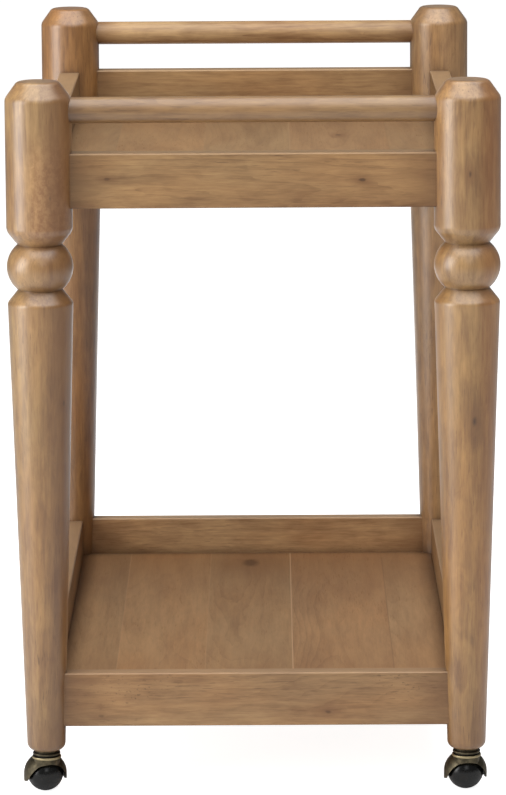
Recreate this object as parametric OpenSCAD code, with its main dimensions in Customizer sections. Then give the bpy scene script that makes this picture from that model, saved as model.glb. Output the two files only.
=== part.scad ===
// Bar cart: four turned legs carry two boarded trays and two end rails, on hooded ball casters.
// The width runs along X, the length along Y and Z is up. The origin is on the floor,
// under the middle of the cart. Each tray's boards lie in a rebate in its aprons.

/* [Overall] */
// Height from the floor to the tops of the legs
cart_h = 832; // [780:2:860]
// Distance between the leg centres across the width
leg_span_x = 488; // [440:2:560]
// Distance between the leg centres along the length
leg_span_y = 838; // [700:2:900]

/* [Turned legs] */
// Diameter of the straight post at the top of a leg
post_d = 76; // [70:1:84]
// Diameter of the flat on top of the post
top_flat_d = 48; // [34:1:56]
// Height of the sloping shoulder round the top of the post
shoulder_h = 19.5; // [12:0.5:26]
// Rounding where the shoulder meets the side of the post
shoulder_round = 11; // [4:1:16]
// Rounding at the edge of the flat on top
top_round = 8; // [2:1:10]
// Length of the post, from the top of the leg to the start of the neck
post_h = 171.5; // [160:0.5:185]
// Height of the neck, which slopes in from the post to the upper groove
neck_h = 15.5; // [12:0.5:24]
// Rounding where the post meets the neck
neck_round = 14; // [2:1:18]
// Diameter at the bottom of each groove
groove_d = 51; // [44:1:58]
// Height of the bead, from groove to groove
bead_h = 52; // [44:1:60]
// Diameter of the bead
bead_d = 76; // [68:1:84]
// Height of the flare between the lower groove and the top of the taper
flare_h = 15; // [11:0.5:24]
// Rounding where the flare meets the taper
flare_round = 7; // [2:1:12]
// Diameter at the top of the taper
taper_top_d = 75; // [68:1:80]
// Diameter of the foot
foot_d = 44; // [42:1:54]
// Rounding under the foot
foot_round = 9; // [3:0.5:10]

/* [End rails] */
// Diameter of the rail at each end
rail_d = 30; // [22:1:34]
// Distance from the tops of the legs down to the middle of the rails
rail_drop = 33.5; // [30:0.5:40]
// Distance from a leg's axis to the end of the rail inside it
rail_seat = 18; // [10:1:26]

/* [Trays] */
// Height of the aprons
apron_h = 63; // [50:1:70]
// Thickness of the upper tray's aprons
upper_apron_t = 26; // [22:1:32]
// Thickness of the lower tray's aprons
lower_apron_t = 20; // [17:1:26]
// Distance from the tops of the legs down to the rim of the upper tray
upper_rim_drop = 82; // [74:1:94]
// Height of the lower tray's bottom edge above the ends of the legs
lower_tray_rise = 29.5; // [26:0.5:80]
// Distance from a leg's axis to the end of an upper apron let into it
upper_seat = 30; // [26:1:32]
// Distance from a leg's axis to the end of a lower apron let into it
lower_seat = 17; // [15:0.5:18.5]
// Rounding along the top edges of the aprons
rim_round = 2; // [0.5:0.5:4]
// Rounding along the outer bottom edge of the aprons
skirt_round = 1.5; // [0.5:0.5:4]

/* [Boards] */
// Thickness of the tray boards
board_t = 12; // [10:0.5:16]
// Thickness of the boards' edges, which are stepped to go under the aprons
tongue_t = 7; // [5:0.5:9]
// Distance that the boards lie above the bottom edge of the aprons
board_recess = 3; // [0:0.5:8]
// Width of the rebate that the boards lie in
rebate_w = 10; // [8:0.5:12]
// Gap between the boards' ends and the rebate
board_gap = 0.3; // [0.1:0.1:1]
// Gap between the boards and the legs
leg_gap = 0.5; // [0.2:0.1:2]
// Joints between the five boards, across the width
board_joints = [-169, -62, 44, 166];

/* [Dowels and screws] */
// Diameter of the dowels in the apron ends
dowel_d = 8; // [6:0.5:9]
// Length of a dowel inside the leg
dowel_in_leg = 12; // [10:0.5:13]
// Length of a dowel inside the apron
dowel_in_apron = 24; // [16:1:30]
// Diameter of the shank of the board screws
screw_d = 3.2; // [2.5:0.1:4]
// Diameter of the head of the board screws
screw_head_d = 7; // [5.5:0.5:8]
// Length of the board screws
screw_l = 25; // [18:1:34]
// Distance from the edge of the boards to the screws
screw_inset = 5; // [4:0.5:6]
// Screws along each side of a tray
side_screws = 4; // [2:1:6]
// Distance between the screws along a side
side_screw_pitch = 180; // [90:10:190]

/* [Casters] */
// Diameter of the ball
ball_d = 42; // [36:1:44]
// Width of the ball across its flat sides
ball_w = 39.6; // [34:0.2:40]
// Diameter of the hubs on the ball
hub_d = 12; // [9:1:14]
// Gap between the ball and the inside of the hood
ball_gap = 0.8; // [0.5:0.1:1.2]
// Distance from the swivel axis to the middle of the ball
trail = 8; // [5:0.5:9]
// Thickness of the hood on each side of the ball, at the axle
hood_wall = 3.2; // [2.2:0.1:5]
// Height above the ball at which the dome of the hood would close to a point
dome_over = 3.5; // [2:0.5:9]
// Thickness of the hood beside the arch that opens it to the front and back
arch_wall = 2.5; // [2:0.1:4]
// Distance from the axle down to the middle of the arch
arch_drop = 7.7; // [6:0.1:10]
// Distance from the axle down to the tips of the hood
tip_drop = 8.3; // [7:0.1:11]
// Radius of the rounded cheek in side view
cheek_r = 14; // [12:0.5:16]
// Diameter of the ring round the top of the hood
ring_d = 34; // [30:0.5:38]
// Height of the ring round the top of the hood
ring_h = 3; // [2:0.2:4]
// Diameter of the hood's neck under the ring
neck_d = 30.5; // [28:0.5:33]
// Thickness of metal between the ball's top and the top of the hood
crown_t = 2; // [1.6:0.1:4]
// Diameter of the axle
axle_d = 5; // [4:0.5:7]
// Diameter of the axle's heads
axle_head_d = 7.2; // [6:0.2:9]
// Thickness of the axle's heads
axle_head_t = 1; // [0.6:0.1:1.6]
// Depth of the flat-bottomed recess that each head of the axle lies in
axle_recess = 1.2; // [0.8:0.1:1.6]

/* [Caster stems] */
// Diameter of the stem
stem_d = 7.9; // [6:0.1:9]
// Length of the stem above the hood
stem_l = 34; // [26:1:36]
// Diameter of the stem's shoulder
stem_shoulder_d = 14; // [10:0.5:16]
// Thickness of the thrust washer
washer_t = 1.3; // [0.8:0.1:1.8]
// Outer diameter of the thrust washer
washer_d = 26; // [20:0.5:28]
// Outer diameter of the socket's sleeve
sleeve_d = 11; // [10:0.2:13]
// Diameter of the ring round the socket's flange
flange_d = 32; // [30:0.2:38]
// Height of the ring round the socket's flange
flange_ring_h = 3; // [2:0.2:4]
// Height of the whole flange, with the narrower collar above its ring
flange_h = 5.5; // [4.5:0.5:7]
// Diameter of the collar between the ring and the leg
collar_d = 26.4; // [24:0.2:29]
// Depth of the groove for the grip ring
grip_depth = 0.8; // [0.5:0.1:1]
// Height of the grip ring
grip_h = 2; // [1.4:0.2:3]
// Angle of each caster about its stem: front left, front right, rear left, rear right
swivel_rest = [16, 6, -12, 9];

/* [Fits] */
// Radial clearance of turning parts and of parts in drilled holes
fit = 0.05; // [0.02:0.01:0.09]
// End clearance of turning parts and in blind holes
slack = 0.4; // [0.2:0.1:0.8]

/* [Hidden] */

$fn = 72;
// Greatest turn of each straight step in a rounded corner, for small and for large roundings
small_step = 15;
large_step = 4;
large_round = 5;
// Reach of a cutting shape past the face that it cuts
past = 1;

wood = [0.62, 0.48, 0.34];
board_wood = [0.60, 0.46, 0.33];
dowel_wood = [0.80, 0.68, 0.50];
antique_brass = [0.45, 0.38, 0.25];
steel = [0.62, 0.62, 0.60];
ball_black = [0.07, 0.07, 0.07];
washer_plastic = [0.13, 0.12, 0.11];

leg_x = leg_span_x / 2;
leg_y = leg_span_y / 2;
// Sides of the four corners, seen from the middle: front left, front right, rear left, rear right
corners = [[-1, -1], [1, -1], [-1, 1], [1, 1]];

ball_r = ball_d / 2;
hood_d = 2 * (ball_r + ball_gap + hood_wall);
arch_r = hood_d / 2 - arch_wall;
tip_z = ball_r - tip_drop;
hood_top = ball_d + crown_t;
// The thrust washer touches the flange above it and runs a little clear of the hood.
washer_lift = 0.2;
// Radial gap between the stem's shoulder and the thrust washer round it
washer_gap = 0.5;
flange_z = hood_top + washer_lift + washer_t;
leg_foot = flange_z + flange_h;
post_z = cart_h - post_h;
upper_groove_z = post_z - neck_h;
lower_groove_z = upper_groove_z - bead_h;
taper_top_z = lower_groove_z - flare_h;

upper_rim = cart_h - upper_rim_drop;
upper_z = upper_rim - apron_h;
lower_z = leg_foot + lower_tray_rise;
rail_z = cart_h - rail_drop;
rebate_h = board_recess + tongue_t;
board_top = board_recess + board_t;

// Heights of the dowels in the end and side aprons, as parts of the height above the rebate.
// They are staggered, so that the dowels of two aprons pass each other inside a leg.
end_dowels = [0.15, 0.6];
side_dowels = [0.38, 0.83];

// The two trays, each as [bottom edge, apron thickness, seat distance, radius of the leg notches]
upper_tray = [upper_z, upper_apron_t, upper_seat, post_d / 2 + leg_gap];
lower_tray = [lower_z, lower_apron_t, lower_seat, taper_r(lower_z + board_top) + leg_gap];
function bottom(tray) = tray[0];
function apron_t(tray) = tray[1];
function seat(tray) = tray[2];
function notch_r(tray) = tray[3];

stem_hole_d = stem_d + 2 * fit;
// Width of the step that the riveted end of the stem is turned down by
rivet_step = 0.5;
rivet_d = stem_d - 2 * rivet_step;
// The riveted end of the stem stays just clear of the ball's hollow in the hood.
rivet_z = ball_d + ball_gap;
// Depth of the flat seats for the ball's hubs in the wall of its hollow, and the gap round the hubs
hub_seat_depth = 0.1;
hub_gap = 1;
// Distances from the middle of the axle to the faces for the ball's hubs and the axle's heads
hub_seat = ball_r + ball_gap + hub_seat_depth;
axle_seat = hood_d / 2 - axle_recess;
stem_top = flange_z + stem_l;
sleeve_top = stem_top + past;
grip_z = stem_top - 3 * grip_h;
// Gaps between a grip ring and the groove that it sits in, and between it and the sleeve
grip_gap = 0.1;
grip_bore_gap = 0.02;
// Height above the axle over which the hood is cut away to its two cheeks
cheek_rise = 1.2;

// Radius of the leg on its long taper, at a height above the floor
function taper_r(z) =
    (foot_d + (taper_top_d - foot_d) * (z - leg_foot) / (taper_top_z - leg_foot)) / 2;

function unit(v) = v / norm(v);

// One corner of an outline, rounded where its radius is above 0
function corner(before, at, after, r) =
    r == 0 ? [at] :
    let (
        u = unit(before - at),
        v = unit(after - at),
        half = acos(u * v) / 2,
        centre = at + unit(u + v) * r / sin(half),
        start = at + u * r / tan(half) - centre,
        end = at + v * r / tan(half) - centre,
        a = atan2(start.y, start.x),
        turn = (atan2(end.y, end.x) - a + 540) % 360 - 180,
        steps = ceil(abs(turn) / (r < large_round ? small_step : large_step)))
    [for (i = [0:steps])
        centre + r * [cos(a + turn * i / steps), sin(a + turn * i / steps)]];

// A closed outline from points that are each [x, y, rounding]
function rounded(points) =
    let (count = len(points), flat = [for (p = points) [p.x, p.y]])
    [for (i = [0:count - 1])
        each corner(flat[(i + count - 1) % count], flat[i], flat[(i + 1) % count], points[i].z)];

// Half of a leg's outline, without the bead between its grooves
leg_outline = rounded([
    [0, leg_foot, 0],
    [foot_d / 2, leg_foot, foot_round],
    [taper_top_d / 2, taper_top_z, flare_round],
    [groove_d / 2, lower_groove_z, 0],
    [groove_d / 2, upper_groove_z, 0],
    [post_d / 2, post_z, neck_round],
    [post_d / 2, cart_h - shoulder_h, shoulder_round],
    [top_flat_d / 2, cart_h, top_round],
    [0, cart_h, 0]]);

// The bead bulges as one arc from groove to groove.
module bead_outline() {
    bulge = (bead_d - groove_d) / 2;
    r = (bead_h * bead_h / 4 + bulge * bulge) / (2 * bulge);
    intersection() {
        translate([bead_d / 2 - r, (lower_groove_z + upper_groove_z) / 2])
            circle(r = r);
        translate([0, lower_groove_z])
            square([bead_d, bead_h]);
    }
}

// Puts a piece that is drawn for the front left corner at any corner, mirrored where needed.
module at_corner(c) {
    translate([c.x * leg_x, c.y * leg_y, 0])
        mirror([c.x > 0 ? 1 : 0, 0, 0])
            mirror([0, c.y > 0 ? 1 : 0, 0])
                children();
}

// Height of a dowel above the bottom edge of its apron
function dowel_z(part) = rebate_h + part * (apron_h - rebate_h);

module dowel_holes_in_leg(tray, parts) {
    for (part = parts)
        translate([seat(tray) - dowel_in_leg - slack, 0, bottom(tray) + dowel_z(part)])
            rotate([0, 90, 0])
                cylinder(d = dowel_d + 2 * fit, h = dowel_in_leg + slack + past);
}

// The two aprons that meet in a leg are let into housings of their own section.
module apron_housing(tray) {
    translate([seat(tray), 0, bottom(tray)])
        rotate([90, 0, 90])
            linear_extrude(post_d)
                apron_section(apron_t(tray));
}

module leg(c) {
    color(wood)
        at_corner(c)
            difference() {
                rotate_extrude() {
                    polygon(leg_outline);
                    bead_outline();
                }
                for (tray = [upper_tray, lower_tray]) {
                    apron_housing(tray);
                    dowel_holes_in_leg(tray, end_dowels);
                    mirror([1, -1, 0]) {
                        apron_housing(tray);
                        dowel_holes_in_leg(tray, side_dowels);
                    }
                }
                translate([rail_seat - slack, 0, rail_z])
                    rotate([0, 90, 0])
                        cylinder(d = rail_d + 2 * fit, h = post_d);
                translate([0, 0, leg_foot - past])
                    cylinder(d = sleeve_d + 2 * fit, h = sleeve_top - leg_foot + past + slack);
            }
}

module rail(side) {
    length = leg_span_x - 2 * rail_seat;
    color(wood)
        translate([-length / 2, side * leg_y, rail_z])
            rotate([0, 90, 0])
                cylinder(d = rail_d, h = length);
}

// Section of an apron with its outer face at -Y: rounded rim, and a rebate below for the boards.
module apron_section(t) {
    polygon(rounded([
        [-t / 2, 0, skirt_round],
        [t / 2 - rebate_w, 0, 0],
        [t / 2 - rebate_w, rebate_h, 0],
        [t / 2, rebate_h, 0],
        [t / 2, apron_h, rim_round],
        [-t / 2, apron_h, rim_round]]));
}

// Edges of a tray's boards across the width, from the left rebate to the right one
function board_edges(tray) =
    let (half = leg_x - apron_t(tray) / 2 + rebate_w - board_gap)
    concat([-half], board_joints, [half]);

// Distance from the leg axes to the line of screws beside them, towards the middle of the tray
function screw_line(tray) = apron_t(tray) / 2 - rebate_w + board_gap + screw_inset;

// Each board end has one screw, in the middle of what the legs leave free.
function end_screw_points(tray) =
    let (edges = board_edges(tray), free = leg_x - notch_r(tray), y = leg_y - screw_line(tray))
    [for (side = [-1, 1], i = [0:len(edges) - 2])
        [(max(edges[i], -free) + min(edges[i + 1], free)) / 2, side * y]];

function side_screw_points(tray) =
    let (x = leg_x - screw_line(tray), middle = (side_screws - 1) / 2)
    [for (side = [-1, 1], i = [0:side_screws - 1]) [side * x, (i - middle) * side_screw_pitch]];

function screw_points(tray) = concat(end_screw_points(tray), side_screw_points(tray));

module screw_holes(tray, points) {
    for (p = points)
        translate([p.x, p.y, bottom(tray) + board_recess]) {
            cylinder(d = screw_d + 2 * fit, h = screw_l + slack);
            translate([0, 0, -past])
                cylinder(d = screw_head_d + 2 * fit, h = past);
            cylinder(d1 = screw_head_d + 2 * fit, d2 = screw_d + 2 * fit,
                h = (screw_head_d - screw_d) / 2);
        }
}

// An apron along X, about the middle of its length, with its outer face towards -Y
module apron(tray, length, dowel_parts) {
    difference() {
        rotate([90, 0, 90])
            linear_extrude(length, center = true)
                apron_section(apron_t(tray));
        for (end = [-1, 1])
            for (part = dowel_parts)
                translate([end * length / 2, 0, dowel_z(part)])
                    rotate([0, 90, 0])
                        cylinder(d = dowel_d + 2 * fit, h = 2 * (dowel_in_apron + slack),
                            center = true);
    }
}

module end_apron(tray, side) {
    color(wood)
        difference() {
            rotate(side > 0 ? 180 : 0)
                translate([0, -leg_y, bottom(tray)])
                    apron(tray, leg_span_x - 2 * seat(tray), end_dowels);
            screw_holes(tray, [for (p = end_screw_points(tray)) if (p.y * side > 0) p]);
        }
}

module side_apron(tray, side) {
    color(wood)
        difference() {
            rotate(side * 90)
                translate([0, -leg_x, bottom(tray)])
                    apron(tray, leg_span_y - 2 * seat(tray), side_dowels);
            screw_holes(tray, [for (p = side_screw_points(tray)) if (p.x * side > 0) p]);
        }
}

// The boards' ends, and the outer edges of the first and last board, step down to tongues that
// lie in the aprons' rebates. The first and last board are also notched round the legs.
module board(tray, index) {
    edges = board_edges(tray);
    left = edges[index];
    right = edges[index + 1];
    top_left = left + (index == 0 ? rebate_w : 0);
    top_right = right - (index == len(edges) - 2 ? rebate_w : 0);
    length = leg_span_y - apron_t(tray) + 2 * (rebate_w - board_gap);
    top_length = length - 2 * rebate_w;
    color(board_wood)
        difference() {
            union() {
                translate([left, -length / 2, bottom(tray) + board_recess])
                    cube([right - left, length, tongue_t]);
                translate([top_left, -top_length / 2, bottom(tray) + board_recess])
                    cube([top_right - top_left, top_length, board_t]);
            }
            for (c = corners)
                if (c.x < 0 ? left < notch_r(tray) - leg_x : right > leg_x - notch_r(tray))
                    translate([c.x * leg_x, c.y * leg_y, bottom(tray)])
                        cylinder(r = notch_r(tray), h = board_top + past);
            screw_holes(tray, [for (p = screw_points(tray)) if (p.x > left && p.x < right) p]);
        }
}

module dowel() {
    length = dowel_in_leg + dowel_in_apron;
    bevel = 1;
    rotate([0, 90, 0])
        rotate_extrude()
            polygon([[0, 0], [dowel_d / 2 - bevel, 0], [dowel_d / 2, bevel],
                [dowel_d / 2, length - bevel], [dowel_d / 2 - bevel, length], [0, length]]);
}

module dowels_in_apron_end(tray, parts) {
    for (part = parts)
        translate([seat(tray) - dowel_in_leg, 0, bottom(tray) + dowel_z(part)])
            dowel();
}

module dowels(tray) {
    color(dowel_wood)
        for (c = corners)
            at_corner(c) {
                dowels_in_apron_end(tray, end_dowels);
                mirror([1, -1, 0])
                    dowels_in_apron_end(tray, side_dowels);
            }
}

// A countersunk screw, point up, with a cross recess in its head
module board_screw() {
    head_h = (screw_head_d - screw_d) / 2;
    point_h = 1.5 * screw_d;
    recess_w = 0.16 * screw_head_d;
    recess_l = 0.6 * screw_head_d;
    recess_depth = 0.7 * head_h;
    difference() {
        rotate_extrude()
            polygon([[0, 0], [screw_head_d / 2, 0], [screw_d / 2, head_h],
                [screw_d / 2, screw_l - point_h], [0, screw_l]]);
        for (turn = [0, 90])
            rotate(turn)
                translate([-recess_l / 2, -recess_w / 2, -past])
                    cube([recess_l, recess_w, recess_depth + past]);
    }
}

module board_screws(tray) {
    color(steel)
        for (p = screw_points(tray))
            translate([p.x, p.y, bottom(tray) + board_recess])
                board_screw();
}

// The fixed half of each caster: a flanged sleeve driven into the foot of the leg
module caster_sockets() {
    bore_r = stem_hole_d / 2;
    ring_round = 0.4 * flange_ring_h;
    sleeve_round = 0.5;
    color(antique_brass)
        for (c = corners)
            translate([c.x * leg_x, c.y * leg_y, 0])
                rotate_extrude()
                    polygon(rounded([
                        [bore_r, flange_z, 0],
                        [flange_d / 2, flange_z, ring_round],
                        [flange_d / 2, flange_z + flange_ring_h, ring_round],
                        [collar_d / 2, flange_z + flange_ring_h, 0],
                        [collar_d / 2, leg_foot, 0],
                        [sleeve_d / 2, leg_foot, 0],
                        [sleeve_d / 2, sleeve_top, sleeve_round],
                        [bore_r, sleeve_top, 0]]));
}

module caster_thrust_washers() {
    color(washer_plastic)
        for (c = corners)
            translate([c.x * leg_x, c.y * leg_y, flange_z - washer_t])
                difference() {
                    cylinder(d = washer_d, h = washer_t);
                    translate([0, 0, -past])
                        cylinder(d = stem_shoulder_d + 2 * washer_gap, h = washer_t + 2 * past);
                }
}

// Split rings that sit in the stems' grooves and grip the sleeves
module caster_grip_rings() {
    ring_in = stem_d / 2 - grip_depth + grip_gap;
    ring_out = stem_hole_d / 2 - grip_bore_gap;
    opening = 40;
    color(steel)
        for (c = corners)
            translate([c.x * leg_x, c.y * leg_y, grip_z + grip_gap])
                rotate_extrude(angle = 360 - opening)
                    translate([ring_in, 0])
                        square([ring_out - ring_in, grip_h - 2 * grip_gap]);
}

// Puts a caster part, drawn about its stem with the ball behind it in +Y, under a leg.
module at_caster(index) {
    translate([corners[index].x * leg_x, corners[index].y * leg_y, 0])
        rotate(swivel_rest[index])
            children();
}

// Turns what is drawn up its own axis to lie along the axle.
module along_axle() {
    translate([0, trail, ball_r])
        rotate([0, 90, 0])
            children();
}

// A dome over the ball, cut off flat under the ring, and a neck and ring about the stem
module hood_outside(steps = 12) {
    dome_h = hood_top - ring_h - ball_r;
    point_h = ball_r + dome_over;
    ring_round = 0.4 * ring_h;
    translate([0, trail, 0])
        rotate_extrude()
            polygon(concat(
                [[0, tip_z], [hood_d / 2, tip_z]],
                [for (i = [0:steps])
                    let (rise = dome_h * i / steps)
                    [hood_d / 2 * sqrt(1 - pow(rise / point_h, 2)), ball_r + rise]],
                [[0, ball_r + dome_h]]));
    rotate_extrude()
        polygon(rounded([
            [0, ball_r, 0],
            [neck_d / 2, ball_r, 0],
            [neck_d / 2, hood_top - ring_h, 0],
            [ring_d / 2, hood_top - ring_h, ring_round],
            [ring_d / 2, hood_top, ring_round],
            [0, hood_top, 0]]));
}

// Below the arch's ends only the rounded cheeks are left, one on each side of the ball.
module below_cheeks() {
    translate([-hood_d, trail - hood_d, 0])
        cube([2 * hood_d, 2 * hood_d, ball_r + cheek_rise]);
}

module caster_hood(index) {
    color(antique_brass)
        at_caster(index)
            difference() {
                hood_outside();
                translate([0, trail, ball_r])
                    sphere(r = ball_r + ball_gap);
                translate([0, trail, ball_r - arch_drop])
                    rotate([90, 0, 0])
                        cylinder(r = arch_r, h = 2 * hood_d, center = true);
                difference() {
                    below_cheeks();
                    translate([0, trail, tip_z + cheek_r])
                        rotate([0, 90, 0])
                            cylinder(r = cheek_r, h = 2 * hood_d, center = true);
                }
                along_axle() {
                    cylinder(d = axle_d + 2 * fit, h = 2 * hood_d, center = true);
                    cylinder(d = hub_d + 2 * hub_gap, h = 2 * hub_seat, center = true);
                    for (side = [-1, 1])
                        translate([0, 0, side * (axle_seat + hood_d / 2)])
                            cylinder(d = axle_head_d + slack, h = hood_d, center = true);
                }
                cylinder(d = rivet_d + 2 * fit, h = hood_top + past);
            }
}

// The stem turns with the hood: a riveted end, a shoulder, and a grooved pin up into the socket.
module caster_stem(index) {
    pin_r = stem_d / 2;
    rivet_r = rivet_d / 2;
    shoulder_top = flange_z - washer_lift;
    tip_bevel = 1.5;
    color(steel)
        at_caster(index)
            rotate_extrude()
                polygon([
                    [0, rivet_z], [rivet_r, rivet_z], [rivet_r, hood_top],
                    [stem_shoulder_d / 2, hood_top], [stem_shoulder_d / 2, shoulder_top],
                    [pin_r, shoulder_top], [pin_r, grip_z],
                    [pin_r - grip_depth, grip_z], [pin_r - grip_depth, grip_z + grip_h],
                    [pin_r, grip_z + grip_h], [pin_r, stem_top - tip_bevel],
                    [pin_r - tip_bevel, stem_top], [0, stem_top]]);
}

// The axle is riveted over at both ends, where its low heads lie in recesses in the cheeks.
module caster_axle(index) {
    head_r = axle_head_d / 2;
    head_end = axle_seat + axle_head_t;
    bevel = axle_head_t / 2;
    color(steel)
        at_caster(index)
            along_axle()
                rotate_extrude()
                    polygon([
                        [0, -head_end], [head_r - bevel, -head_end], [head_r, bevel - head_end],
                        [head_r, -axle_seat], [axle_d / 2, -axle_seat],
                        [axle_d / 2, axle_seat], [head_r, axle_seat],
                        [head_r, head_end - bevel], [head_r - bevel, head_end], [0, head_end]]);
}

module caster_ball(index) {
    color(ball_black)
        at_caster(index)
            along_axle()
                difference() {
                    union() {
                        intersection() {
                            sphere(d = ball_d, $fn = 96);
                            cylinder(d = 2 * ball_d, h = ball_w, center = true);
                        }
                        cylinder(d = hub_d, h = 2 * (hub_seat - slack), center = true);
                    }
                    cylinder(d = axle_d + 2 * fit, h = 2 * ball_d, center = true);
                }
}

leg(corners[0]);  // leg_front_left
leg(corners[1]);  // leg_front_right
leg(corners[2]);  // leg_rear_left
leg(corners[3]);  // leg_rear_right
rail(-1);  // rail_front
rail(1);  // rail_rear
end_apron(upper_tray, -1);  // upper_apron_front
end_apron(upper_tray, 1);  // upper_apron_rear
side_apron(upper_tray, -1);  // upper_apron_left
side_apron(upper_tray, 1);  // upper_apron_right
end_apron(lower_tray, -1);  // lower_apron_front
end_apron(lower_tray, 1);  // lower_apron_rear
side_apron(lower_tray, -1);  // lower_apron_left
side_apron(lower_tray, 1);  // lower_apron_right
board(upper_tray, 0);  // upper_board_1
board(upper_tray, 1);  // upper_board_2
board(upper_tray, 2);  // upper_board_3
board(upper_tray, 3);  // upper_board_4
board(upper_tray, 4);  // upper_board_5
board(lower_tray, 0);  // lower_board_1
board(lower_tray, 1);  // lower_board_2
board(lower_tray, 2);  // lower_board_3
board(lower_tray, 3);  // lower_board_4
board(lower_tray, 4);  // lower_board_5
dowels(upper_tray);  // upper_dowels
dowels(lower_tray);  // lower_dowels
board_screws(upper_tray);  // upper_board_screws
board_screws(lower_tray);  // lower_board_screws
caster_sockets();
caster_thrust_washers();
caster_grip_rings();
caster_hood(0);  // caster_hood_front_left
caster_hood(1);  // caster_hood_front_right
caster_hood(2);  // caster_hood_rear_left
caster_hood(3);  // caster_hood_rear_right
caster_stem(0);  // caster_stem_front_left
caster_stem(1);  // caster_stem_front_right
caster_stem(2);  // caster_stem_rear_left
caster_stem(3);  // caster_stem_rear_right
caster_axle(0);  // caster_axle_front_left
caster_axle(1);  // caster_axle_front_right
caster_axle(2);  // caster_axle_rear_left
caster_axle(3);  // caster_axle_rear_right
caster_ball(0);  // caster_ball_front_left
caster_ball(1);  // caster_ball_front_right
caster_ball(2);  // caster_ball_rear_left
caster_ball(3);  // caster_ball_rear_right
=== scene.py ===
import math

import bpy
from mathutils import Matrix, Vector

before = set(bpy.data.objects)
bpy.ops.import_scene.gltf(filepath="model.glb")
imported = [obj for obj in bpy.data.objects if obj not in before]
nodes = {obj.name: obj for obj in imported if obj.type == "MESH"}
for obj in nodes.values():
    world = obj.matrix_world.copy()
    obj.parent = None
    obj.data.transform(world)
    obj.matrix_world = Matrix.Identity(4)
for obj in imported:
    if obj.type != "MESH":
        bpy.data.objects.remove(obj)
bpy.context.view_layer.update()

# Lengths are in metres, lamp powers in watts
CORNERS = ("front_left", "front_right", "rear_left", "rear_right")
TRAYS = ("upper", "lower")
BOARDS_PER_TRAY = 5
WHITE = (1.0, 1.0, 1.0, 1.0)


class Graph:
    """A short way to write a material's nodes."""

    def __init__(self, tree):
        self.tree = tree

    def node(self, kind, inputs=None, **props):
        n = self.tree.nodes.new(kind)
        for key, value in props.items():
            setattr(n, key, value)
        for key, value in (inputs or {}).items():
            self.plug(value, n.inputs[key])
        return n

    def plug(self, value, socket):
        if isinstance(value, bpy.types.NodeSocket):
            self.tree.links.new(value, socket)
        else:
            socket.default_value = value

    def coord(self, kind="Object"):
        return self.node("ShaderNodeTexCoord").outputs[kind]

    def split(self, vector):
        return self.node("ShaderNodeSeparateXYZ", {"Vector": vector}).outputs

    def combine(self, x, y, z=0.0):
        return self.node("ShaderNodeCombineXYZ", {"X": x, "Y": y, "Z": z}).outputs[0]

    def math(self, operation, a, b=0.0):
        return self.node("ShaderNodeMath", {0: a, 1: b}, operation=operation).outputs[0]

    def vector(self, operation, a, b):
        return self.node("ShaderNodeVectorMath", {0: a, 1: b}, operation=operation).outputs["Vector"]

    def length(self, a):
        return self.node("ShaderNodeVectorMath", {0: a}, operation="LENGTH").outputs["Value"]

    def noise(self, vector, scale, detail=2.0, rough=0.5, distortion=0.0, out="Fac"):
        n = self.node("ShaderNodeTexNoise", {"Vector": vector, "Scale": scale, "Detail": detail,
                                             "Roughness": rough, "Distortion": distortion})
        return n.outputs[out]

    def ramp(self, value, low, high, to_low=0.0, to_high=1.0, smooth=True):
        n = self.node("ShaderNodeMapRange", {"Value": value, "From Min": low, "From Max": high,
                                             "To Min": to_low, "To Max": to_high})
        n.interpolation_type = "SMOOTHSTEP" if smooth else "LINEAR"
        return n.outputs["Result"]

    def mix(self, factor, a, b, blend="MIX"):
        n = self.node("ShaderNodeMix", data_type="RGBA", blend_type=blend, clamp_factor=True)
        self.plug(factor, n.inputs["Factor"])
        self.plug(a, n.inputs["A"])
        self.plug(b, n.inputs["B"])
        return n.outputs["Result"]

    def openness(self, reach):
        """1 on open surfaces, less in corners and grooves that are narrower than the reach."""
        return self.node("ShaderNodeAmbientOcclusion", {"Distance": reach}, samples=4).outputs["AO"]

    def bump(self, height, strength, distance):
        return self.node("ShaderNodeBump", {"Strength": strength, "Distance": distance,
                                            "Height": height}).outputs[0]


def srgb(r, g, b):
    """Linear colour from 0 to 255 values."""
    def linear(v):
        v /= 255.0
        return v / 12.92 if v <= 0.04045 else ((v + 0.055) / 1.055) ** 2.4
    return (linear(r), linear(g), linear(b), 1.0)


def new_material(name):
    """A material with one Principled shader, with its graph and that shader."""
    m = bpy.data.materials.new(name)
    m.use_nodes = True
    m.node_tree.nodes.clear()
    g = Graph(m.node_tree)
    shader = g.node("ShaderNodeBsdfPrincipled")
    g.node("ShaderNodeOutputMaterial", {"Surface": shader.outputs[0]})
    return m, g, shader


def dress(obj, material):
    obj.data.materials.clear()
    obj.data.materials.append(material)


def extent(name):
    """Lowest and highest corner of a node."""
    corners = [Vector(c) for c in nodes[name].bound_box]
    return tuple(Vector([pick(c[i] for c in corners) for i in range(3)]) for pick in (min, max))


# How strongly each kind of piece shows its broad bands, streaks, fibres, blotches, close figure, rings,
# reddish patches and pores, how rough its finish is, and how thick the clear coat on it
LEG = dict(broad=0.20, streak=0.24, fibre=0.12, blotch=0.28, figure=0.28, rings=0.20, red=1.0, pore=0.6,
           rough=0.38, coat=1.0)
APRON = dict(broad=0.20, streak=0.20, fibre=0.14, blotch=0.30, figure=0.20, rings=0.22, red=0.9, pore=0.5,
             rough=0.44, coat=0.1)
RAIL = dict(broad=0.14, streak=0.17, fibre=0.12, blotch=0.26, figure=0.25, rings=0.20, red=0.6, pore=0.4,
            rough=0.42, coat=1.0)
BOARD = dict(broad=0.18, streak=0.10, fibre=0.06, blotch=0.10, figure=0.05, rings=0.16, red=0.5, pore=0.18,
             rough=0.46, coat=0.0)

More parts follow.
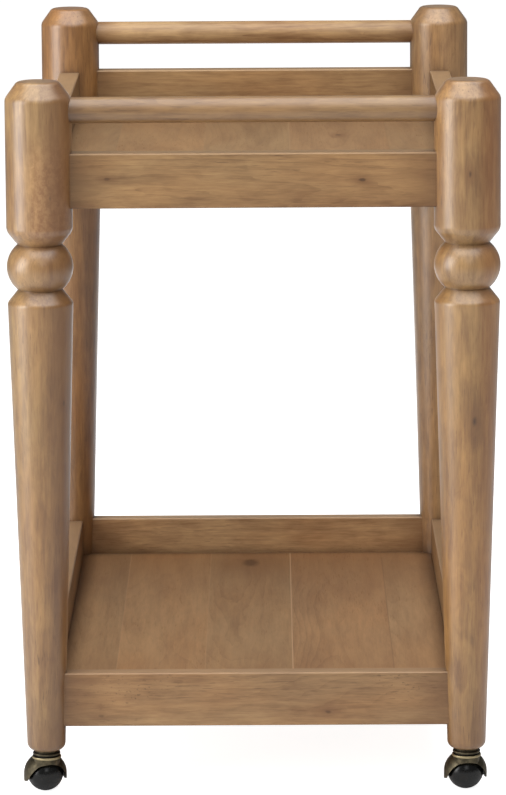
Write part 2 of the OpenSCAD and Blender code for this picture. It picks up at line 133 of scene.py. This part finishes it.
# How each layer of the figure is drawn: its scale along the grain against that across it, then the
# noise's scale, detail, roughness and distortion
LAYERS = {
    "broad": (0.11, 55.0, 4.0, 0.62),
    "streak": (0.065, 240.0, 3.0, 0.6),
    "fibre": (0.07, 780.0, 2.0, 0.6),
    "blotch": (0.35, 12.0, 4.0, 0.6),
    "figure": (0.35, 70.0, 3.0, 0.6, 0.5),
}

DARK_WOOD, PALE_WOOD = srgb(112, 79, 51), srgb(190, 154, 109)
REDDER = (1.03, 0.94, 0.86, 1.0)
PORE, SPECK = srgb(84, 56, 36), srgb(72, 48, 30)
# Dark colour of the painted shade at the ends, also used on the darker feet, and pale colour of the
# painted highlight on the aprons' rims
END_DARK_COLOUR, RIM_HIGHLIGHT = srgb(112, 76, 46), srgb(206, 172, 136)
BURL_DARK, BURL_PALE = srgb(138, 91, 58), srgb(186, 143, 104)
KNOT_HALO, KNOT_CORE = srgb(120, 82, 52), srgb(70, 46, 29)
# Colour of the painted shade in grooves and where pieces meet
GROOVE_SHADE = srgb(66, 42, 26)

# The figure's tone goes from 0 for the darkest wood to 1 for the palest
MIDDLE_TONE = 0.52
RINGS_PER_METRE = 210.0
# Strength of the painted shade at the ends and of the darkening at the feet
END_DARK_STRENGTH = 0.5
GLUE_LINE_HALF = 0.0011
KNOT_SQUEEZE = 0.45
GROOVE_REACH = 0.022
# Heights between which a leg's lower tint turns into its upper one
TINT_CHANGE = (0.44, 0.60)
# Each piece's wood has a seed of its own, counted on from the first of its kind
FIRST_SEED = {"leg": 1.0, "apron": 10.0, "rail": 20.0, "board": 30.0, "dowel": 50.0}


class Wood:
    """Stained wood under a satin finish, with the grain along one axis."""

    def __init__(self, name, look, grain, seed, pith=(0.05, -0.12)):
        self.material, self.g, self.shader = new_material(name)
        self.look = look
        self.coord = self.g.coord()
        self.place = self.g.split(self.coord)
        self.axis = "XYZ".index(grain)
        self.along = self.place[self.axis]
        self.across = [self.place[i] for i in range(3) if i != self.axis]
        # A frame with the grain along Z, moved far apart for each piece
        apart = (1.37, 2.11, 3.73)
        self.local = self.g.combine(*(self.g.math("ADD", value, seed * step)
                                      for value, step in zip((*self.across, self.along), apart)))
        self.layers = {key: self.g.noise(self.stretched(k), *settings)
                       for key, (k, *settings) in LAYERS.items()}
        self.pores, self.specks = self.draw_pores()
        self.knot_bump = None
        self.colour = self.draw_figure(self.late_wood(pith))

    def stretched(self, k):
        """The local frame with features 1/k times as long along the grain."""
        return self.g.vector("MULTIPLY", self.local, (1.0, 1.0, k))

    def cover(self, factor, shade):
        self.colour = self.g.mix(factor, self.colour, shade)

    def late_wood(self, pith):
        """The dark part of the growth rings, round a pith that wanders slowly along the length."""
        g = self.g
        drift_width, warp_width, sharpness = 0.11, 0.007, 3.5
        wander = g.noise(self.stretched(0.3), 4.0, 1.0, out="Color")
        drift = g.vector("MULTIPLY", g.vector("SUBTRACT", wander, (0.5, 0.5, 0.5)),
                         (drift_width, drift_width, 0.0))
        plane = g.combine(*(g.math("SUBTRACT", value, middle)
                            for value, middle in zip(self.across, pith)))
        radius = g.length(g.vector("ADD", plane, drift))
        fine_warp = g.math("MULTIPLY", g.noise(self.stretched(0.12), 60.0), warp_width)
        phase = g.math("FRACT", g.math("MULTIPLY", g.math("ADD", radius, fine_warp), RINGS_PER_METRE))
        strength = g.ramp(g.noise(self.stretched(0.2), 9.0), 0.35, 0.7, 0.2, 1.0)
        return g.math("MULTIPLY", g.math("POWER", phase, sharpness), strength)

    def draw_pores(self):
        """Long fine pores and short dark specks, each in zones of its own."""
        g = self.g
        pore_zone = g.ramp(g.noise(self.stretched(0.3), 20.0), 0.38, 0.68, 0.15, 1.0)
        pores = g.ramp(g.noise(self.stretched(0.07), 640.0), 0.60, 0.70)
        speck_zone = g.ramp(g.noise(self.stretched(0.5), 13.0, 3.0, 0.6), 0.56, 0.70)
        specks = g.ramp(g.noise(self.stretched(0.5), 420.0, 2.0, 0.6), 0.60, 0.72)
        return g.math("MULTIPLY", pores, pore_zone), g.math("MULTIPLY", specks, speck_zone)

    def draw_figure(self, late):
        g, look = self.g, self.look
        tone = g.math("SUBTRACT", MIDDLE_TONE, g.math("MULTIPLY", late, look["rings"]))
        for key, value in self.layers.items():
            # The noise spread to both sides of 0
            half = look[key] / 2
            tone = g.math("ADD", tone, g.ramp(value, 0.30, 0.70, -half, half))
        colour = g.mix(g.ramp(tone, 0.0, 1.0, smooth=False), DARK_WOOD, PALE_WOOD)
        red = g.noise(g.vector("ADD", self.stretched(0.3), (3.1, 7.7, 1.3)), 14.0, 3.0, 0.55)
        colour = g.mix(g.math("MULTIPLY", g.ramp(red, 0.36, 0.66), look["red"]), colour, REDDER,
                       "MULTIPLY")
        colour = g.mix(g.math("MULTIPLY", self.pores, look["pore"]), colour, PORE)
        return g.mix(g.math("MULTIPLY", self.specks, 1.1 * look["pore"]), colour, SPECK)

    def shade_ends(self, end, reach):
        """Painted shade towards the ends where the piece meets the legs or aprons, in a ragged band that
        reaches in from the end that shows.
        """
        g = self.g
        uneven = 0.05
        ragged = g.math("ADD", g.math("MULTIPLY", self.layers["blotch"], uneven),
                        g.math("MULTIPLY", self.layers["streak"], uneven))
        distance = g.math("ADD", g.math("ABSOLUTE", self.along), g.math("SUBTRACT", ragged, uneven))
        self.cover(g.ramp(distance, end - reach, end, 0.0, END_DARK_STRENGTH), END_DARK_COLOUR)

    def darken_foot(self, foot):
        """A leg is darker at its foot, fading upwards."""
        reach = 0.08
        self.cover(self.g.ramp(self.place[2], foot, foot + reach, END_DARK_STRENGTH, 0.0), END_DARK_COLOUR)

    def paint_rim_highlight(self, top):
        """A painted highlight along the top edge, where the rounded rim catches the light."""
        start, full, strength = 0.0022, 0.0008, 0.55
        self.cover(self.g.ramp(self.place[2], top - start, top - full, 0.0, strength), RIM_HIGHLIGHT)

    def mottle(self, low, high, side):
        """Close burl-like figure between two heights, from one place in X on."""
        g = self.g
        low_fade, high_fade, side_fade, strength = 0.03, 0.06, 0.02, 0.6
        patches = g.ramp(g.noise(self.stretched(0.8), 150.0, 4.0, 0.7, 0.2), 0.36, 0.64)
        zone = g.math("MULTIPLY", g.ramp(self.place[2], low, low + low_fade),
                      g.ramp(self.place[2], high - high_fade, high, 1.0, 0.0))
        zone = g.math("MULTIPLY", zone, g.ramp(self.place[0], side, side + side_fade))
        self.cover(g.math("MULTIPLY", zone, strength), g.mix(patches, BURL_DARK, BURL_PALE))

    def paint_side_shade(self, start, reach, strength, shade):
        """Painted shade along one side of a leg, with a wavy edge."""
        g = self.g
        wave_width = 0.02
        wave = g.math("MULTIPLY", g.math("SUBTRACT", self.layers["blotch"], 0.5), wave_width)
        wavy = g.math("ADD", self.place[0], wave)
        self.cover(g.ramp(wavy, start, start + reach, 0.0, strength), shade)

    def add_knots(self, knots):
        """Knots, each with its middle, size and depth. They are longer along the grain."""
        g = self.g
        squeeze = [1.0, 1.0, 1.0]
        squeeze[self.axis] = KNOT_SQUEEZE
        for middle, size, depth in knots:
            away = g.vector("MULTIPLY", g.vector("SUBTRACT", self.coord, middle), tuple(squeeze))
            uneven = g.math("MULTIPLY", g.noise(self.coord, 0.4 / size), size * 0.9)
            distance = g.math("ADD", g.length(away), uneven)
            core = g.ramp(distance, size * 0.55, size * 1.05, 1.0, 0.0)
            halo = g.ramp(distance, size * 0.9, size * 3.0, 1.0, 0.0)
            self.cover(g.math("MULTIPLY", halo, 0.55 * depth), KNOT_HALO)
            self.cover(g.math("MULTIPLY", core, 0.85 * depth), KNOT_CORE)
            self.knot_bump = core if self.knot_bump is None else g.math("MAXIMUM", self.knot_bump, core)

    def add_glue_line(self, x, strength, shade):
        """Glue line along the edge of a board."""
        off = self.g.math("ABSOLUTE", self.g.math("SUBTRACT", self.place[0], x))
        self.cover(self.g.ramp(off, GLUE_LINE_HALF * 0.4, GLUE_LINE_HALF, strength, 0.0), shade)

    def relief(self):
        g = self.g
        height = g.math("SUBTRACT", g.math("MULTIPLY", self.layers["streak"], 0.35),
                        g.math("MULTIPLY", self.pores, 0.7))
        height = g.math("ADD", height, g.math("MULTIPLY", self.layers["fibre"], 0.25))
        height = g.math("SUBTRACT", height, g.math("MULTIPLY", self.specks, 0.8))
        if self.knot_bump is not None:
            height = g.math("SUBTRACT", height, g.math("MULTIPLY", self.knot_bump, 0.8))
        return g.bump(height, strength=0.16, distance=0.0002)

    def finish(self, tint, upper_tint=None):
        """The material, tinted. With an upper tint, a leg changes to it from the flare up."""
        g, shader, rough = self.g, self.shader, self.look["rough"]
        stain = (*tint, 1.0)
        if upper_tint is not None:
            stain = g.mix(g.ramp(self.place[2], *TINT_CHANGE), stain, (*upper_tint, 1.0))
        self.colour = g.mix(1.0, self.colour, stain, "MULTIPLY")
        # Painted shade: the wood is darker in the grooves and where two pieces meet
        self.cover(g.ramp(g.openness(GROOVE_REACH), 0.25, 0.95, 0.75, 0.0), GROOVE_SHADE)
        g.plug(self.colour, shader.inputs["Base Color"])
        uneven = g.math("ADD", g.ramp(self.layers["blotch"], 0.3, 0.75, rough - 0.03, rough + 0.03),
                        g.math("MULTIPLY", self.layers["streak"], 0.04))
        g.plug(g.math("ADD", uneven, g.math("MULTIPLY", self.pores, 0.12)), shader.inputs["Roughness"])
        g.plug(self.relief(), shader.inputs["Normal"])
        shader.inputs["Specular IOR Level"].default_value = 0.5
        shader.inputs["Coat Weight"].default_value = self.look["coat"]
        shader.inputs["Coat Roughness"].default_value = rough - 0.04
        return self.material


# A leg's post and bead are as thick as the leg gets. Its long taper starts below the flare
TAPER_TOP_DROP = 0.254
TAPER_TOP_R, FOOT_R = 0.0375, 0.022
POST_R, LEG_R_AT_LOWER_TRAY = 0.038, 0.025

# The tree's pith lies outside each piece: beside and behind a leg, inward of an apron at a
# height below its top, and under a board
PITH_BESIDE, PITH_BEHIND, PITH_BELOW = 0.03, 0.06, 0.05

# For each leg its tints, and where it has them its painted shade on the +X side, as start in X from
# the leg's middle, width, strength and colour; its burl, as lowest and highest place and start in X
# from the leg's middle; and its knots, as height, angle round the leg from the front towards +X in
# degrees, size and depth
LEGS = {
    # The front legs' lighter upper tints are painted light on their posts
    "front_left": dict(
        tint=(0.89, 0.85, 0.68), upper_tint=(1.05, 1.05, 0.92),
        side_shade=(-0.010, 0.038, 0.7, srgb(110, 68, 36)), burl=(0.635, 0.79, -0.018),
        knots=((0.702, 22, 0.0036, 0.6), (0.464, 50, 0.0036, 0.7))),
    "front_right": dict(
        tint=(0.94, 0.86, 0.62), upper_tint=(0.98, 0.93, 0.77),
        side_shade=(0.002, 0.024, 0.35, srgb(158, 92, 48)),
        knots=((0.442, 12, 0.0070, 1.0), (0.728, 2, 0.0036, 0.9))),
    # The rear left leg's darker tint is painted shade
    "rear_left": dict(tint=(0.80, 0.65, 0.46), knots=((0.392, 204, 0.0048, 0.9),)),
    "rear_right": dict(tint=(0.90, 0.87, 0.78), knots=((0.532, 72, 0.0044, 0.8),)),
}


def on_leg(low, high, z, angle):
    """The point on a leg's surface at a height and an angle, from the leg's box."""
    taper_top = high.z - TAPER_TOP_DROP
    r = FOOT_R + (TAPER_TOP_R - FOOT_R) * min(1.0, (z - low.z) / (taper_top - low.z))
    x, y, a = (low.x + high.x) / 2, (low.y + high.y) / 2, math.radians(angle)
    return (x + r * math.sin(a), y - r * math.cos(a), z)


def dress_legs():
    for i, corner in enumerate(CORNERS):
        name, leg = "leg_" + corner, LEGS[corner]
        low, high = extent(name)
        x, y = (low.x + high.x) / 2, (low.y + high.y) / 2
        pith = (x + math.copysign(PITH_BESIDE, x), y + PITH_BEHIND)
        wood = Wood("wood_" + name, LEG, "Z", FIRST_SEED["leg"] + i, pith)
        if "burl" in leg:
            bottom, top, side = leg["burl"]
            wood.mottle(bottom, top, x + side)
        if "side_shade" in leg:
            start, reach, strength, shade = leg["side_shade"]
            wood.paint_side_shade(x + start, reach, strength, shade)
        wood.darken_foot(low.z)
        wood.add_knots([(on_leg(low, high, z, angle), size, depth)
                        for z, angle, size, depth in leg["knots"]])
        dress(nodes[name], wood.finish(leg["tint"], leg.get("upper_tint")))


def free_half(tray, grain):
    """Half of what shows between the legs at a tray, along the grain."""
    low, high = extent("leg_rear_right")
    middle = (low + high) / 2
    radius = POST_R if tray == "upper" else LEG_R_AT_LOWER_TRAY
    return (middle.x if grain == "X" else middle.y) - radius


def dress_aprons():
    # Knots: distance along from the middle, height above the bottom edge, size and depth
    knots = {
        "upper_apron_front": ((0.124, 0.032, 0.0040, 0.9), (-0.166, 0.034, 0.0034, 0.6)),
        "lower_apron_front": ((0.084, 0.016, 0.0040, 0.7), (-0.18, 0.012, 0.0036, 0.5)),
        "upper_apron_left": ((0.12, 0.026, 0.0050, 0.8),),
        "lower_apron_right": ((-0.16, 0.032, 0.0050, 0.8),),
    }
    # The upper tray shades the lower rear apron more here than in the photo, so its wood is lighter
    # The upper rear apron's lighter tint is painted light, the upper side aprons' darker tint painted
    # shade
    tints = {"upper_apron_front": (0.84, 0.825, 0.765), "upper_apron_rear": (0.97, 0.98, 0.93),
             "upper_apron_left": (0.70, 0.68, 0.63), "upper_apron_right": (0.70, 0.68, 0.63),
             "lower_apron_front": (0.86, 0.83, 0.80), "lower_apron_rear": (1.40, 1.46, 1.54),
             "lower_apron_left": (0.86, 0.83, 0.80), "lower_apron_right": (0.86, 0.83, 0.80)}
    sides = ("front", "rear", "left", "right")
    pith_inward = 0.87
    for i, side in enumerate(sides):
        for j, tray in enumerate(TRAYS):
            name = "%s_apron_%s" % (tray, side)
            low, high = extent(name)
            grain = "X" if side in ("front", "rear") else "Y"
            outer = low if side in ("front", "left") else high
            middle = (low + high) / 2
            pith = ((middle.y if grain == "X" else middle.x) * pith_inward, high.z - PITH_BELOW)
            wood = Wood("wood_" + name, APRON, grain, FIRST_SEED["apron"] + i + len(sides) * j, pith)
            wood.shade_ends(free_half(tray, grain), reach=0.05)
            wood.paint_rim_highlight(high.z)
            wood.add_knots([((along, outer.y, low.z + up) if grain == "X"
                             else (outer.x, along, low.z + up), size, depth)
                            for along, up, size, depth in knots.get(name, ())])
            dress(nodes[name], wood.finish(tints[name]))


def dress_rails():
    # The rear rail's lighter tint is painted light
    looks = {"front": (dict(RAIL, coat=0.75), (0.80, 0.765, 0.66)),
             "rear": (dict(RAIL, coat=0.0), (1.20, 1.27, 1.33))}
    for i, (side, (look, tint)) in enumerate(looks.items()):
        wood = Wood("wood_rail_" + side, look, "X", FIRST_SEED["rail"] + i, pith=(-0.3, 0.7))
        wood.shade_ends(free_half("upper", "X"), reach=0.03)
        dress(nodes["rail_" + side], wood.finish(tint))


def dress_boards():
    tints = ((0.92, 0.94, 0.95), (1.03, 1.01, 0.97), (0.96, 0.98, 0.98), (0.98, 0.95, 0.93),
             (0.96, 0.98, 1.00))
    # The upper tray shades the lower boards more here than in the photo, so their wood is lighter
    levels = {"upper": (0.83, 0.81, 0.80), "lower": (1.58, 1.58, 1.68)}
    # How strong the glue line is at each joint from left to right, and its colour
    glue = ((0.35, srgb(176, 142, 104)), (0.30, srgb(176, 142, 104)), (0.80, srgb(188, 156, 118)),
            (0.35, srgb(96, 66, 44)))
    glue_levels = {"upper": 0.35, "lower": 0.8}
    # Knots: place along the board, size and depth
    knots = {"lower_board_3": (0.350, 0.022, 0.8), "upper_board_4": (0.10, 0.008, 0.6)}
    for j, tray in enumerate(TRAYS):
        for i in range(BOARDS_PER_TRAY):
            name = "%s_board_%d" % (tray, i + 1)
            low, high = extent(name)
            middle, top = (low.x + high.x) / 2, high.z
            wood = Wood("wood_" + name, BOARD, "Y", FIRST_SEED["board"] + BOARDS_PER_TRAY * j + i,
                        pith=(middle, top - PITH_BELOW))
            wood.shade_ends(high.y, reach=0.40)
            if name in knots:
                y, size, depth = knots[name]
                wood.add_knots([((middle, y, top), size, depth)])
            for x, joint in ((low.x, i - 1), (high.x, i)):
                if 0 <= joint < len(glue):
                    strength, shade = glue[joint]
                    wood.add_glue_line(x, strength * glue_levels[tray], shade)
            dress(nodes[name], wood.finish([a * b for a, b in zip(levels[tray], tints[i])]))


def dress_dowels():
    """Bare beech, paler than the rest."""
    tint = (1.25, 1.25, 1.2)
    for i, tray in enumerate(TRAYS):
        name = tray + "_dowels"
        dress(nodes[name], Wood("wood_" + name, APRON, "X", FIRST_SEED["dowel"] + i).finish(tint))


PATINA_DARK, PATINA_PALE = srgb(76, 70, 57), srgb(108, 99, 79)
# Worn edges' colour, a painted highlight on the hood's ring, and painted shade in crevices
WORN_BRASS, RING_HIGHLIGHT_BRASS = srgb(170, 154, 120), srgb(190, 174, 136)
BRASS_CREVICE_SHADE = srgb(30, 24, 17)


def antique_brass(name, highlight_band=None):
    """Dark brass with worn edges. A band between two heights can get a painted highlight."""
    m, g, shader = new_material(name)
    coord = g.coord()
    patina = g.noise(coord, 120.0, 4.0, 0.6)
    fine = g.noise(coord, 900.0, 3.0, 0.6)
    edge = g.node("ShaderNodeNewGeometry").outputs["Pointiness"]
    colour = g.mix(g.ramp(patina, 0.35, 0.68), PATINA_DARK, PATINA_PALE)
    colour = g.mix(g.ramp(edge, 0.56, 0.70, 0.0, 0.35), colour, WORN_BRASS)
    if highlight_band is not None:
        low, high = highlight_band
        soft = 0.0003
        z = g.split(coord)["Z"]
        band = g.math("MULTIPLY", g.ramp(z, low - soft, low + soft),
                      g.ramp(z, high - soft, high + soft, 1.0, 0.0))
        colour = g.mix(g.math("MULTIPLY", band, 0.75), colour, RING_HIGHLIGHT_BRASS)
    # Painted shade in the crevices and in the gaps next to other parts
    colour = g.mix(g.ramp(g.openness(reach=0.005), 0.2, 0.9, 0.8, 0.0), colour, BRASS_CREVICE_SHADE)
    g.plug(colour, shader.inputs["Base Color"])
    g.plug(g.math("ADD", g.ramp(patina, 0.3, 0.7, 0.46, 0.36), g.math("MULTIPLY", fine, 0.1)),
           shader.inputs["Roughness"])
    g.plug(g.bump(fine, strength=0.25, distance=0.0002), shader.inputs["Normal"])
    shader.inputs["Metallic"].default_value = 1.0
    return m


def steel(name, level):
    """Bright steel with fine marks, at a grey level of 0 to 255."""
    m, g, shader = new_material(name)
    coord = g.coord()
    fine = g.noise(g.vector("MULTIPLY", coord, (1.0, 1.0, 0.2)), 1500.0, 3.0, 0.6)
    wear = g.noise(coord, 160.0, 3.0)
    colour = g.mix(g.ramp(wear, 0.35, 0.7), srgb(level, level, level - 4),
                   srgb(level + 34, level + 32, level + 26))
    g.plug(colour, shader.inputs["Base Color"])
    g.plug(g.math("ADD", 0.24, g.math("MULTIPLY", fine, 0.16)), shader.inputs["Roughness"])
    g.plug(g.bump(fine, strength=0.15, distance=0.0001), shader.inputs["Normal"])
    shader.inputs["Metallic"].default_value = 1.0
    return m


def black_ball(name):
    """Polished black plastic with light scuffs and a little dust."""
    m, g, shader = new_material(name)
    coord = g.coord()
    scuff = g.noise(coord, 260.0, 4.0, 0.65)
    dust = g.noise(coord, 60.0, 3.0)
    g.plug(g.mix(g.ramp(dust, 0.4, 0.75), srgb(7, 7, 6), srgb(15, 15, 13)), shader.inputs["Base Color"])
    g.plug(g.math("ADD", 0.20, g.math("MULTIPLY", scuff, 0.12)), shader.inputs["Roughness"])
    g.plug(g.bump(scuff, strength=0.08, distance=0.0002), shader.inputs["Normal"])
    shader.inputs["Specular IOR Level"].default_value = 0.42
    return m


def washer_plastic(name):
    # Dark plastic; its darkness also paints the shade in the gap below the socket's flange
    m, g, shader = new_material(name)
    cloud = g.noise(g.coord(), 90.0, 3.0)
    g.plug(g.mix(g.ramp(cloud, 0.35, 0.7), srgb(30, 28, 26), srgb(46, 44, 40)),
           shader.inputs["Base Color"])
    g.plug(g.math("ADD", 0.45, g.math("MULTIPLY", cloud, 0.15)), shader.inputs["Roughness"])
    return m


def dress_casters():
    brass = antique_brass("antique_brass")
    ring_height = 0.003
    hood_top = extent("caster_hood_front_left")[1].z
    # A painted highlight on the hood's top ring
    hood_brass = antique_brass("hood_brass", highlight_band=(hood_top - ring_height, hood_top))
    caster_steel = steel("caster_steel", 140)
    ball = black_ball("black_ball")
    for corner in CORNERS:
        dress(nodes["caster_hood_" + corner], hood_brass)
        dress(nodes["caster_stem_" + corner], caster_steel)
        dress(nodes["caster_axle_" + corner], brass)
        dress(nodes["caster_ball_" + corner], ball)
    dress(nodes["caster_sockets"], brass)
    dress(nodes["caster_grip_rings"], caster_steel)
    dress(nodes["caster_thrust_washers"], washer_plastic("washer_plastic"))


def dress_screws():
    screw_steel = steel("screw_steel", 165)
    for tray in TRAYS:
        dress(nodes[tray + "_board_screws"], screw_steel)


def shows_background(g, behind):
    """1 on the rays that see the white background: the camera's, and those of gloss and
    transmission that go to the part of it behind the cart."""
    path = g.node("ShaderNodeLightPath").outputs
    mirrored = g.math("MAXIMUM", path["Is Glossy Ray"], path["Is Transmission Ray"])
    return g.math("MAXIMUM", path["Is Camera Ray"], g.math("MULTIPLY", mirrored, behind))


FLOOR_GREY = (0.80, 0.80, 0.80, 1.0)
FLOOR_GLOW = 0.90


def floor_white(name):
    """Pale surface that glows where it shows the background, so that it looks white and still takes
    shadow."""
    m, g, shader = new_material(name)
    shader.inputs["Base Color"].default_value = FLOOR_GREY
    shader.inputs["Roughness"].default_value = 0.9
    # Gloss shows the strip of it behind the cart, 2 m wide between the middles of its soft edges
    side_fade, near_fade = (0.8, 1.2), (1.0, 2.0)
    place = g.split(g.coord())
    strip = g.math("MULTIPLY", g.ramp(g.math("ABSOLUTE", place["X"]), *side_fade, 1.0, 0.0),
                   g.ramp(place["Y"], *near_fade))
    glow = g.node("ShaderNodeEmission", {"Color": WHITE, "Strength": FLOOR_GLOW})
    bright = g.node("ShaderNodeAddShader", {0: shader.outputs[0], 1: glow.outputs[0]})
    mix = g.node("ShaderNodeMixShader", {0: shows_background(g, strip), 1: shader.outputs[0],
                                         2: bright.outputs[0]})
    out = next(n for n in m.node_tree.nodes if n.bl_idname == "ShaderNodeOutputMaterial")
    g.plug(mix.outputs[0], out.inputs["Surface"])
    return m


def stage_floor():
    half = 60.0
    mesh = bpy.data.meshes.new("floor")
    mesh.from_pydata([(-half, -half, 0), (half, -half, 0), (half, half, 0), (-half, half, 0)], [],
                     [(0, 1, 2, 3)])
    floor = bpy.data.objects.new("floor", mesh)
    bpy.context.scene.collection.objects.link(floor)
    dress(floor, floor_white("floor_white"))


def world_light():
    """Dim even light all round, and a low white backdrop behind the floor."""
    world = bpy.data.worlds.new("studio")
    bpy.context.scene.world = world
    world.use_nodes = True
    world.node_tree.nodes.clear()
    g = Graph(world.node_tree)
    dim, white = 0.16, 1.0
    side_fade, top_fade = (0.90, 0.95), (0.02, 0.10)
    way = g.split(g.coord("Generated"))
    low_behind = g.math("MULTIPLY", g.ramp(way["Y"], *side_fade), g.ramp(way["Z"], *top_fade, 1.0, 0.0))
    strength = g.ramp(shows_background(g, low_behind), 0.0, 1.0, dim, white, smooth=False)
    back = g.node("ShaderNodeBackground", {"Color": WHITE, "Strength": strength})
    g.node("ShaderNodeOutputWorld", {"Surface": back.outputs[0]})


def soft_box(name, place, aim, size, power):
    light = bpy.data.lights.new(name, "AREA")
    light.shape = "RECTANGLE"
    light.size, light.size_y = size
    light.energy = power
    obj = bpy.data.objects.new(name, light)
    bpy.context.scene.collection.objects.link(obj)
    obj.location = place
    obj.rotation_mode = "QUATERNION"
    obj.rotation_quaternion = (Vector(aim) - Vector(place)).to_track_quat("-Z", "Z")


def studio():
    stage_floor()
    world_light()
    soft_box("key_left", place=(-3.6, -2.0, 1.2), aim=(0.0, -0.9, 1.05), size=(3.5, 2.1), power=134.0)
    soft_box("top", place=(0.0, -1.0, 3.3), aim=(0.0, -0.5, 0.5), size=(4.2, 3.8), power=142.0)
    soft_box("front_fill", place=(0.6, -4.5, 2.4), aim=(0.0, 0.0, 0.4), size=(1.6, 1.6), power=14.0)


def camera():
    """The photo's view, along the cart from its front end, a little from above."""
    data = bpy.data.cameras.new("camera")
    cam = bpy.data.objects.new("camera", data)
    bpy.context.scene.collection.objects.link(cam)
    data.sensor_fit = "AUTO"
    data.sensor_width = 36.0
    data.lens = 198.72
    data.shift_y = -0.17
    data.clip_start, data.clip_end = 0.5, 100.0
    cam.location = (0.0164, -5.3692, 1.4056)
    pitch, yaw, roll = math.radians(8.990), math.radians(-0.1982), math.radians(-0.3405)
    look = Matrix.Rotation(-yaw, 4, "Z") @ Matrix.Rotation(math.radians(90) - pitch, 4, "X")
    cam.rotation_mode = "QUATERNION"
    cam.rotation_quaternion = (look @ Matrix.Rotation(roll, 4, "Z")).to_quaternion()
    bpy.context.scene.camera = cam


dress_legs()
dress_aprons()
dress_rails()
dress_boards()
dress_dowels()
dress_casters()
dress_screws()
studio()
camera()
bpy.context.scene.view_settings.view_transform = "Standard"
